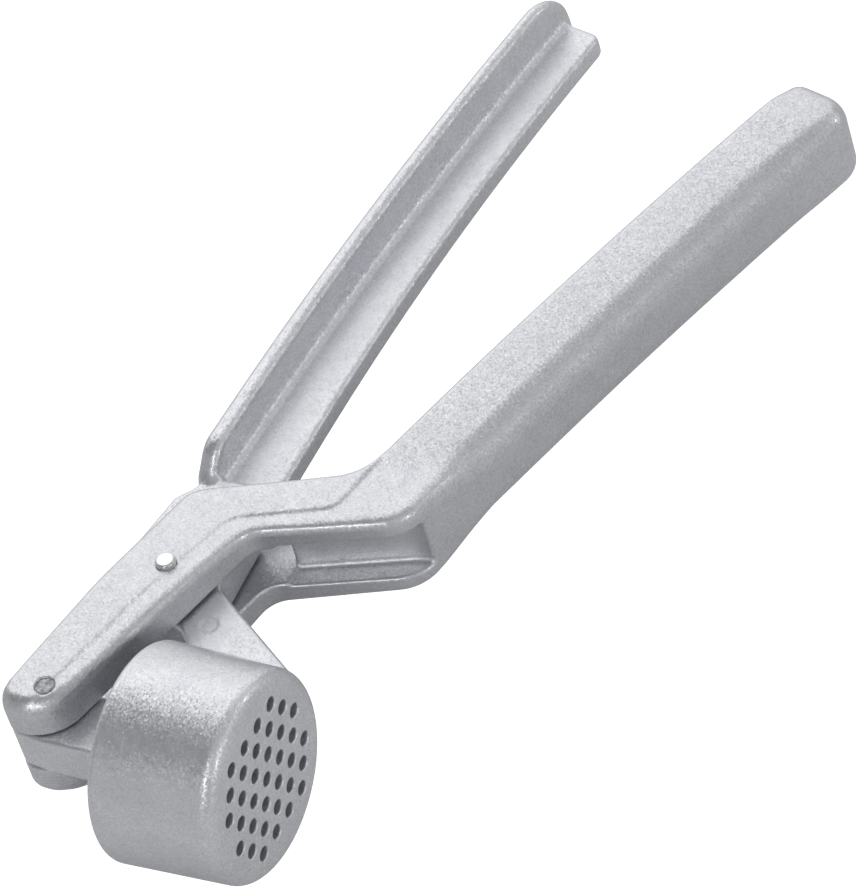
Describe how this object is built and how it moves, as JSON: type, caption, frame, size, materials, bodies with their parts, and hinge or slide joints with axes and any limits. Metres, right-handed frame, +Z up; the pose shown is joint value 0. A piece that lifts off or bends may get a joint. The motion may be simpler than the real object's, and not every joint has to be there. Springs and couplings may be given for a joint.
{
  "type": "garlic press",
  "caption": "Cast garlic press with a round sieve cup, a swinging plunger and two bowed pliers-style handles, lying on its side partly open.",
  "frame": {"origin": "the middle of the side that the press lies on: half way along its length and across its spread handles, level with the lowest point of the cup's wall", "axes": "+X along the levers from the sieve cup to the handle ends; +Y from the sieve towards the cup's mouth, square to the sieve; +Z up, along both pins"},
  "size_m": [0.179, 0.0783, 0.035],
  "materials": {
    "cast_silver": "satin",
    "steel": "satin"
  },
  "bodies": {
    "cup_side": {"cup_lever": "cast_silver"},
    "fork_side": {"fork_lever": "cast_silver", "hinge_pin": "steel", "plunger_pin": "steel"},
    "plunger_side": {"plunger": "cast_silver"}
  },
  "joints": [
    {"name": "fork_hinge", "type": "hinge", "parent": "cup_side", "child": "fork_side", "pos_m": [-0.044, 0.0256, 0.0175], "axis": [0, 0, 1], "range_deg": [-34, 18.5]},
    {"name": "plunger_hinge", "type": "hinge", "parent": "fork_side", "child": "plunger_side", "pos_m": [-0.0719, 0.03265, 0.0175], "axis": [0, 0, 1], "range_deg": [-14, 24]}
  ],
  "couplings": [
    {"joint": "plunger_hinge", "follows": "fork_hinge", "ratio": -0.68}
  ]
}
